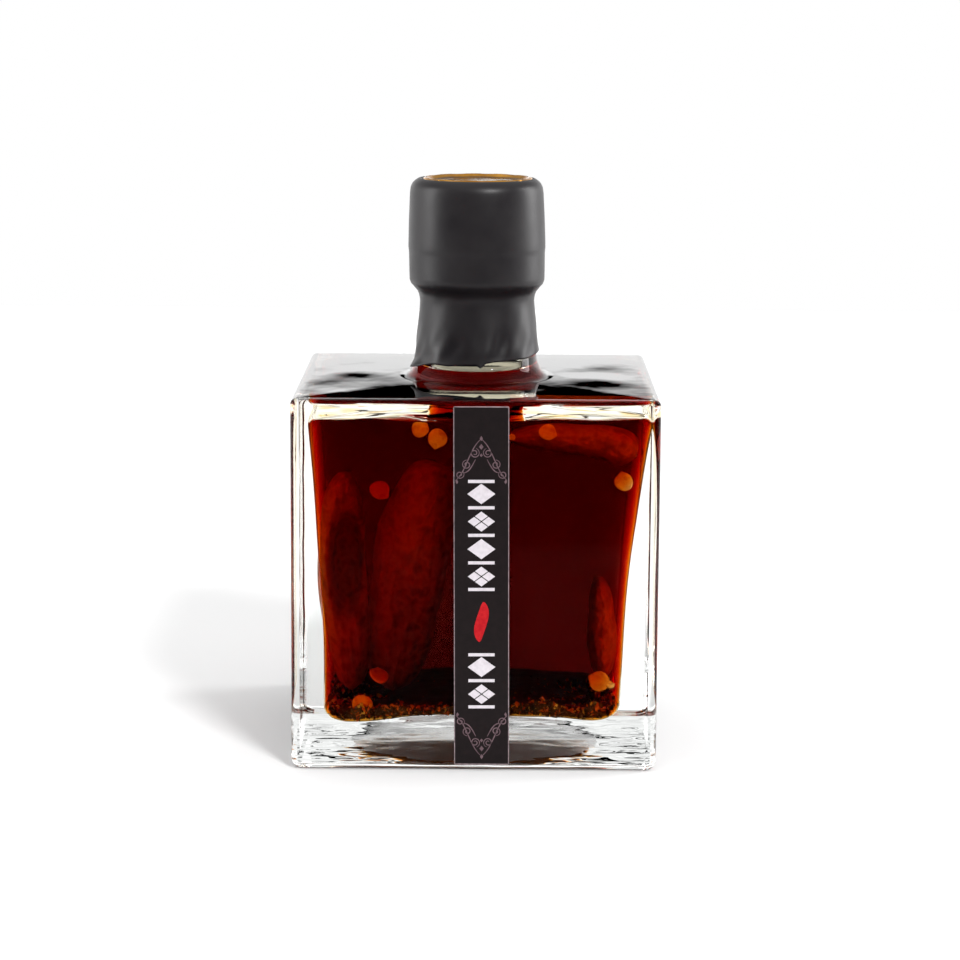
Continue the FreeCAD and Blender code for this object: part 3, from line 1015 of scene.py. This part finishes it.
def slab(pile, outline, front, back):
    """A thin flat solid with an outline of (across, height), anticlockwise from the front."""
    count = len(outline)
    verts = [on_label(u, v, front) for u, v in outline] + [on_label(u, v, back) for u, v in outline]
    faces = [tuple(range(count)), tuple(reversed(range(count, 2 * count)))]
    for i in range(count):
        j = (i + 1) % count
        faces.append((j, i, count + i, count + j))
    pile.add(verts, faces)


def ribbon(pile, line, width):
    """A flat stroke along a line of (across, height) points in mm, thin at both ends."""
    rows = []
    for i, (u, v) in enumerate(line):
        before, after = line[max(i - 1, 0)], line[min(i + 1, len(line) - 1)]
        run = Vector((after[0] - before[0], after[1] - before[1])).normalized()
        half = width / 2 * (0.45 + 0.55 * math.sin(math.pi * i / (len(line) - 1)))
        rows.append(((u - run.y * half, v + run.x * half), (u + run.y * half, v - run.x * half)))
    verts = []
    for left, right in rows:
        for u, v in (left, right):
            verts.append(on_label(u * MM, v * MM, PRINT_FRONT))
            verts.append(on_label(u * MM, v * MM, PAPER_FRONT))
    faces = []
    for i in range(len(rows) - 1):
        low, high = 4 * i, 4 * i + 4
        faces.append((low, high, high + 2, low + 2))
        faces.append((low + 1, low + 3, high + 3, high + 1))
        faces.append((low, low + 1, high + 1, high))
        faces.append((low + 2, high + 2, high + 3, low + 3))
    end = 4 * (len(rows) - 1)
    faces.append((0, 2, 3, 1))
    faces.append((end, end + 1, end + 3, end + 2))
    pile.add(verts, faces)


def printed(pile, outline):
    """A printed form with an outline of (across, height) points in mm."""
    slab(pile, [(u * MM, v * MM) for u, v in outline], PRINT_FRONT, PAPER_FRONT)


def lozenge(pile, across, height, half_width, half_height):
    corners = ((half_width, 0), (0, half_height), (-half_width, 0), (0, -half_height))
    printed(pile, [(across + u, height + v) for u, v in corners])


def spiral(centre, radius, start, turns, side):
    """Points of a scroll that winds inward, with side -1 for its mirror image."""
    line = []
    steps = 34
    for i in range(steps + 1):
        share = i / steps
        angle = start + turns * 2 * math.pi * share
        reach = radius * (1 - 0.78 * share)
        across = centre[0] + reach * math.cos(angle)
        line.append((side * across, centre[1] + reach * math.sin(angle)))
    return line


def build_label(paper):
    radius = 0.3 * MM
    outline = []
    for quarter, (sign_u, sign_v) in enumerate(((1, 1), (-1, 1), (-1, -1), (1, -1))):
        for step in range(5):
            angle = math.pi / 2 * (quarter + step / 4)
            u = sign_u * (LABEL_HALF_WIDTH - radius) + radius * math.cos(angle)
            v = sign_v * (LABEL_HALF_HEIGHT - radius) + radius * math.sin(angle)
            outline.append((u, LABEL_MIDDLE.z + v))
    pile = Pile()
    slab(pile, outline, PAPER_FRONT, PAPER_BACK)
    pile.piece("label_paper", paper, False, "black_label", "label_strip")


def build_print(white, red, faint):
    """A column of lozenges with one red leaf, between two arches of scrolls."""
    pile = Pile()
    for index, height in enumerate((53.9, 48.6, 43.3, 38.0, 20.4, 15.1)):
        if index % 2 == 0:
            lozenge(pile, 0, height, 2.65, 1.95)
        else:
            for u, v in ((1.36, 0), (-1.36, 0), (0, 1.02), (0, -1.02)):
                lozenge(pile, u, height + v, 1.22, 0.9)
    for height in (56.3, 51.25, 45.95, 40.65, 35.5, 22.8, 17.75, 12.6):
        corners = ((2.5, -0.3), (2.5, 0.3), (-2.5, 0.3), (-2.5, -0.3))
        printed(pile, [(u, height + v) for u, v in corners])
    pile.piece("print_white", white, False, "black_label")
    pile = Pile()
    leaf = []
    for i in range(36):
        angle = 2 * math.pi * i / 36
        half = 1.15 * abs(math.cos(angle)) ** 1.25 * (1 if math.cos(angle) > 0 else -1)
        rise = 3.9 * math.sin(angle)
        leaf.append((half + 0.5 * math.sin(rise * 0.55), 29.2 + rise))
    printed(pile, leaf)
    pile.piece("print_red", red, False, "black_label")
    pile = Pile()
    for flip in (1, -1):
        for side in (1, -1):
            lines = [
                [(side * (0.15 + 4.75 * t), 64.3 - 7.9 * t + 0.5 * math.sin(2 * math.pi * t))
                 for t in [i / 20 for i in range(21)]],
                spiral((1.25, 61.7), 0.95, 1.9, 1.6, side),
                spiral((2.75, 59.5), 0.9, 1.6, -1.5, side),
                spiral((4.05, 57.6), 0.85, 2.3, 1.5, side),
                [(side * (1.1 + 2.4 * t), 60.5 - 2.6 * t - 0.7 * math.sin(math.pi * t))
                 for t in [i / 12 for i in range(13)]],
            ]
            for line in lines:
                points = line if flip == 1 else [(u, MIRROR_SUM - v) for u, v in line]
                ribbon(pile, points, 0.2)
        small = ((0, 64.5, 0.3, 0.5), (0, 62.9, 0.42, 0.55), (0, 61.3, 0.3, 0.35))
        small += ((4.6, 56.2, 0.26, 0.42), (-4.6, 56.2, 0.26, 0.42))
        for u, v, half_width, half_height in small:
            lozenge(pile, u, v if flip == 1 else MIRROR_SUM - v, half_width, half_height)
    pile.piece("print_scrolls", faint, False, "black_label")


def label_material():
    """Satin black paper with a pale line along its cut edges."""
    material, tree, shader = new_material("black_label_paper")
    vector = object_coords(tree, move=(-LABEL_MIDDLE.x, 0, -LABEL_MIDDLE.z))
    across, _, up = add_node(tree, "SeparateXYZ", {"Vector": vector}).outputs
    tilt = 0.04 * math.sin(LABEL_TILT)
    lean = scaled(tree, up, -0.04, 0.04, -tilt, tilt)
    away = math_value(tree, "ABSOLUTE", math_value(tree, "ADD", across, lean))
    side = scaled(tree, away, LABEL_HALF_WIDTH - 0.2 * MM, LABEL_HALF_WIDTH - 0.12 * MM)
    rise = math_value(tree, "ABSOLUTE", up)
    end = scaled(tree, rise, LABEL_HALF_HEIGHT - 0.24 * MM, LABEL_HALF_HEIGHT - 0.14 * MM)
    edge = math_value(tree, "MAXIMUM", side, end)
    worn = noise_value(tree, vector, 1500.0, 2.0)
    edge = math_value(tree, "MULTIPLY", edge, scaled(tree, worn, 0.35, 0.6, 0.55, 1.0))
    grain = noise_value(tree, vector, 900.0, 4.0)
    paper = ramp(tree, grain, [(0.35, srgb(21, 15, 16)), (0.65, srgb(25, 18, 19))])
    feed(tree, shader, {
        "Base Color": mixed(tree, edge, paper, (*srgb(150, 134, 138), 1.0)),
        "Roughness": 0.5, "Specular IOR Level": 0.12,
        "Normal": bump(tree, grain, 0.15, 0.01 * MM)})
    return material


def ink_material(name, dark, light):
    """Printed ink, a little uneven over the paper's grain."""
    material, tree, shader = new_material(name)
    grain = noise_value(tree, object_coords(tree), 1400.0)
    feed(tree, shader, {
        "Base Color": ramp(tree, grain, [(0.35, srgb(*dark)), (0.65, srgb(*light))]),
        "Roughness": 0.5, "Specular IOR Level": 0.12})
    return material


build_label(label_material())
build_print(
    ink_material("white_ink", (206, 199, 205), (218, 211, 217)),
    ink_material("red_ink", (170, 18, 28), (190, 28, 34)),
    ink_material("faint_ink", (98, 78, 84), (116, 95, 100)))


# ---- Setting ----
def floor_material():
    material, tree, shader = new_material("pale_floor")
    cloud = noise_value(tree, object_coords(tree), 3.0)
    feed(tree, shader, {
        "Base Color": cloudy(tree, cloud, (0.93, 0.93, 0.93), (0.94, 0.94, 0.94)),
        "Roughness": 0.8, "Specular IOR Level": 0.0})
    return material


def build_floor():
    """A plain floor, just below the base so that no faces coincide."""
    left, right, front, back = -0.8, 0.8, -0.26, 0.75
    corners = ((left, front), (right, front), (right, back), (left, back))
    verts = [(x, y, -0.08 * MM) for x, y in corners]
    floor = make_piece("floor", verts, [(0, 1, 2, 3)], [floor_material()], smooth=False)


def add_light(name, kind, energy, place, direction, **settings):
    """A lamp at a place that shines in a direction."""
    light = bpy.data.lights.new(name, kind)
    light.energy = energy
    for key, value in settings.items():
        setattr(light, key, value)
    holder = bpy.data.objects.new(name, light)
    holder.location = place
    holder.rotation_euler = direction.to_track_quat("-Z", "Y").to_euler()
    bpy.context.scene.collection.objects.link(holder)


# Brightness of the surroundings by elevation in degrees.
WORLD_LEVELS = (
    (-8.0, 1.02), (0.0, 1.3), (7.9, 1.6), (13.5, 1.1),
    (20.0, 0.9), (30.0, 0.45), (45.0, 0.6), (58.0, 0.85), (90.0, 0.85),
)


def build_world():
    """A white sweep behind the bottle, dim toward the front, with a dark card low at the back."""
    world = bpy.data.worlds.new("studio")
    bpy.context.scene.world = world
    world.use_nodes = True
    tree = world.node_tree
    coords = add_node(tree, "TexCoord").outputs["Generated"]
    x, y, z = add_node(tree, "SeparateXYZ", {"Vector": coords}).outputs
    stops = []
    for elevation, level in WORLD_LEVELS:
        stops.append(((math.sin(math.radians(elevation)) + 1) / 2, (level, level, level)))
    sweep = ramp(tree, scaled(tree, z, -1.0, 1.0), stops)
    aside = scaled(tree, math_value(tree, "ABSOLUTE", x), 0.10, 0.14, 1.0, 0.0)
    low = math_value(tree, "MULTIPLY", scaled(tree, z, 0.130, 0.146),
                     scaled(tree, z, 0.205, 0.232, 1.0, 0.0))
    card = math_value(tree, "MULTIPLY", math_value(tree, "MULTIPLY", aside, low),
                      scaled(tree, y, 0.0, 0.1))
    lit = math_value(tree, "MAXIMUM", scaled(tree, y, -0.55, 0.1), scaled(tree, z, 0.3, 0.5))
    level = math_value(tree, "MULTIPLY", scaled(tree, lit, 0.0, 1.0, 0.06, 1.0),
                       scaled(tree, card, 0.0, 1.0, 1.0, 0.0))
    seen = add_node(tree, "LightPath").outputs["Is Camera Ray"]
    feed(tree, tree.nodes["Background"], {
        "Color": mixed(tree, seen, sweep, (1, 1, 1, 1)),
        "Strength": math_value(tree, "MAXIMUM", level, seen)})


def build_camera():
    """The photo's view: a long lens a little above the bottle, looking slightly down."""
    data = bpy.data.cameras.new("camera")
    data.sensor_width = 36.0
    data.lens = 111.556
    data.clip_start = 0.01
    data.clip_end = 20.0
    camera = bpy.data.objects.new("camera", data)
    turn = Euler((math.radians(80.254), 0, math.radians(0.19))).to_matrix()
    roll = Matrix.Rotation(math.radians(0.35), 3, "Z")
    camera.matrix_world = Matrix.Translation((0.00274, -0.58791, 0.15152)) @ (turn @ roll).to_4x4()
    bpy.context.scene.collection.objects.link(camera)
    bpy.context.scene.camera = camera


build_floor()
build_world()
build_camera()
add_light("key", "SUN", 2.4, (0, 0, 0), -Vector((0.454, -0.891, 0.649)), angle=math.radians(13.0))
for name, place in (("left_card", (-0.95, -0.05, 0.30)), ("right_card", (0.85, 0.27, 0.30))):
    add_light(name, "AREA", 5.0, place, Vector((0, 0, 0.08)) - Vector(place),
              shape="RECTANGLE", size=0.35, size_y=0.6)

scene = bpy.context.scene
scene.view_settings.view_transform = "Standard"
scene.view_settings.look = "None"
scene.cycles.max_bounces = 24
scene.cycles.transmission_bounces = 20
scene.cycles.glossy_bounces = 8
scene.cycles.transparent_max_bounces = 12
